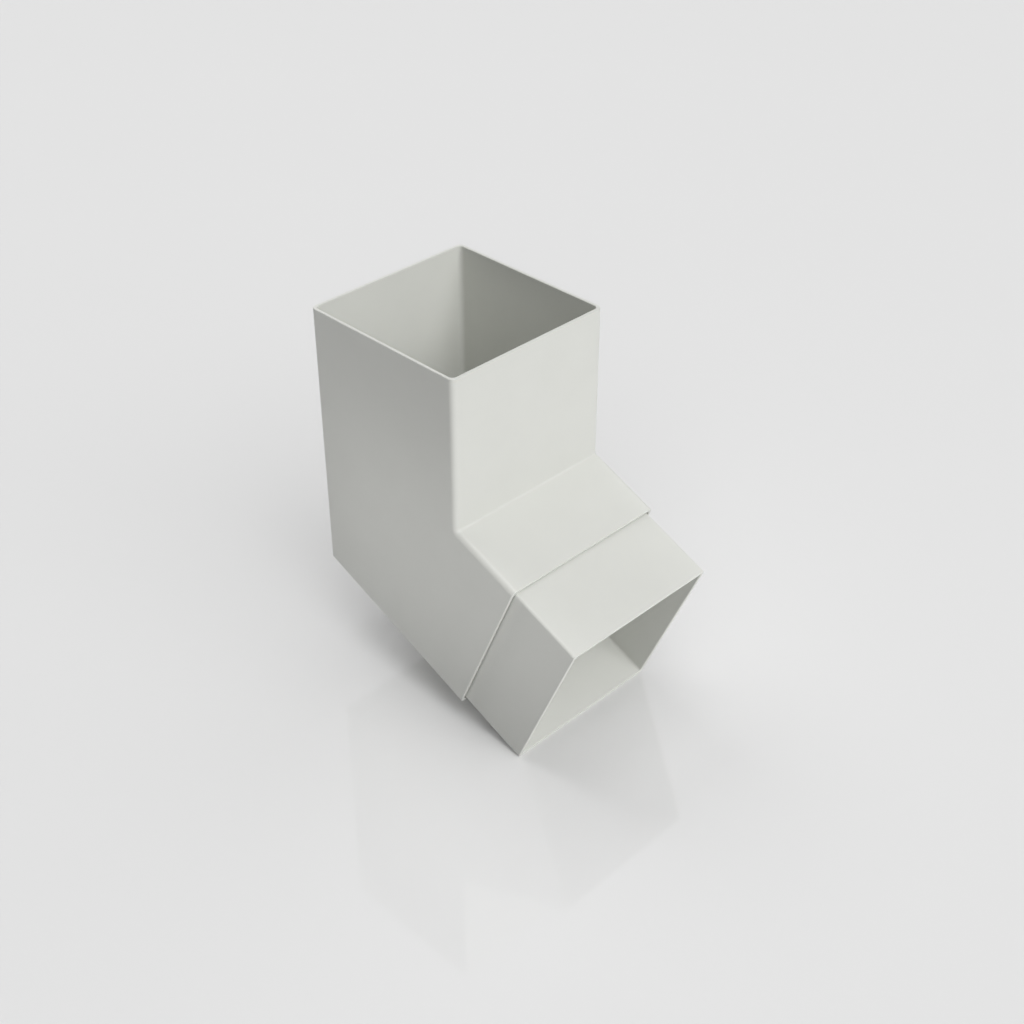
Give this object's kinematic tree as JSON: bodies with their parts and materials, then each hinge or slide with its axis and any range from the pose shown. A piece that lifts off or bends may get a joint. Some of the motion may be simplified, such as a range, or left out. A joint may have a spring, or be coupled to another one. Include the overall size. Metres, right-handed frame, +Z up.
{
  "type": "downspout elbow",
  "caption": "Square mitred downspout elbow in light grey coated metal, with an open socket mouth on top and a slightly smaller sleeve spigot at its sloping outlet.",
  "frame": {"origin": "centre of the upper socket's mouth, in the plane of its rim", "axes": "+Z up out of the mouth along the socket's axis, +X level and towards the outlet, +Y across the pipe"},
  "size_m": [0.1266, 0.072, 0.1476],
  "materials": {
    "grey_coat": "satin powder coat over aluminium",
    "grey_coat_sleeve": "satin powder coat over aluminium",
    "sealant": "matt cured sealant"
  },
  "bodies": {
    "root": {"elbow_body": "grey_coat", "spigot_sleeve": "grey_coat_sleeve", "sleeve_bond": "sealant"}
  },
  "joints": []
}
